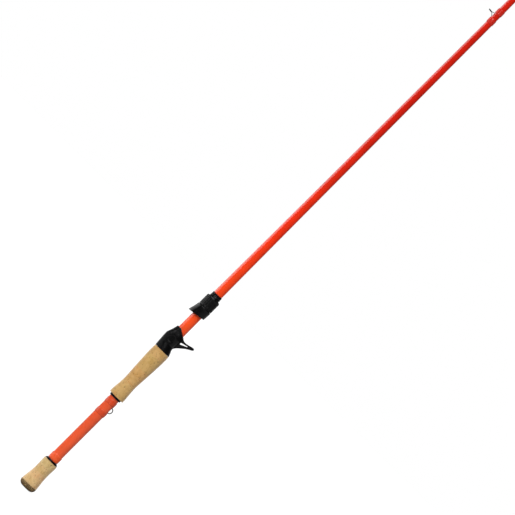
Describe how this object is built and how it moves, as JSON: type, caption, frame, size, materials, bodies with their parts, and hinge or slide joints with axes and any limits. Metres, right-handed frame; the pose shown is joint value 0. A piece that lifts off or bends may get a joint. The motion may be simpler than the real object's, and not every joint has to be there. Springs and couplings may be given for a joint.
{
  "type": "casting rod",
  "caption": "Full-length casting rod with a tapered blank, split cork grips, a trigger reel seat with a sliding hood and locking nut, a hook keeper, line guides and a tip-top.",
  "frame": {"origin": "middle of the butt cap's flat end face", "axes": "+Z along the rod from the butt to the tip, -X towards the side of the reel and the guides, +X towards the side of the trigger and the hook keeper"},
  "size_m": [0.0465, 0.0268, 2.1335],
  "materials": {
    "blank": "gloss orange paint under clear coat over a composite tube",
    "cork": "sanded natural cork",
    "rubber_cork": "sanded rubberised cork",
    "check_metal": "black anodised",
    "seat_plastic": "satin black moulding",
    "arbor": "bare fibre",
    "clip_steel": "spring steel",
    "thread_wrap": "red thread under gloss epoxy",
    "keeper_steel": "dark plated wire",
    "guide_steel": "black plated",
    "ring_ceramic": "polished dark ceramic"
  },
  "bodies": {
    "rod": {"barrel_end_ring": "check_metal", "blank": "blank", "butt_cap": "rubber_cork", "front_cork_ring_1": "cork", "front_cork_ring_2": "cork", "front_cork_ring_3": "cork", "front_cork_ring_4": "cork", "front_cork_ring_5": "cork", "front_cork_ring_6": "cork", "front_cork_ring_7": "cork", "grip_winding_check": "check_metal", "hook_keeper": "keeper_steel", "hook_keeper_wrap_front": "thread_wrap", "hook_keeper_wrap_rear": "thread_wrap", "rear_cork_ring_1": "cork", "rear_cork_ring_2": "cork", "rear_cork_ring_3": "cork", "rear_cork_ring_4": "cork", "rear_trim_wrap": "thread_wrap", "rear_winding_check": "check_metal", "runner_guide_1_frame": "guide_steel", "runner_guide_1_ring": "ring_ceramic", "runner_guide_1_wrap": "thread_wrap", "runner_guide_2_frame": "guide_steel", "runner_guide_2_ring": "ring_ceramic", "runner_guide_2_wrap": "thread_wrap", "runner_guide_3_frame": "guide_steel", "runner_guide_3_ring": "ring_ceramic", "runner_guide_3_wrap": "thread_wrap", "runner_guide_4_frame": "guide_steel", "runner_guide_4_ring": "ring_ceramic", "runner_guide_4_wrap": "thread_wrap", "runner_guide_5_frame": "guide_steel", "runner_guide_5_ring": "ring_ceramic", "runner_guide_5_wrap": "thread_wrap", "runner_guide_6_frame": "guide_steel", "runner_guide_6_ring": "ring_ceramic", "runner_guide_6_wrap": "thread_wrap", "runner_guide_7_frame": "guide_steel", "runner_guide_7_ring": "ring_ceramic", "runner_guide_7_wrap": "thread_wrap", "seat_arbor": "arbor", "seat_body": "seat_plastic", "stripper_guide_frame": "guide_steel", "stripper_guide_ring": "ring_ceramic", "stripper_guide_wrap_front": "thread_wrap", "stripper_guide_wrap_rear": "thread_wrap", "threaded_barrel": "seat_plastic", "tip_top_frame": "guide_steel", "tip_top_ring": "ring_ceramic", "tip_top_wrap": "thread_wrap"},
    "hood": {"sliding_hood": "seat_plastic", "hood_retaining_ring": "clip_steel"},
    "nut": {"locking_nut": "seat_plastic"}
  },
  "joints": [
    {"name": "hood_slide", "type": "slide", "parent": "rod", "child": "hood", "axis": [0, 0, 1], "range_m": [-0.0025, 0.01]},
    {"name": "nut_spin", "type": "hinge", "parent": "hood", "child": "nut", "pos_m": [0, 0, 0.3556], "axis": [0, 0, 1], "range_deg": [-361, 1441]}
  ],
  "couplings": [
    {"joint": "nut_spin", "follows": "hood_slide", "rad_per_m": 2513.3}
  ]
}
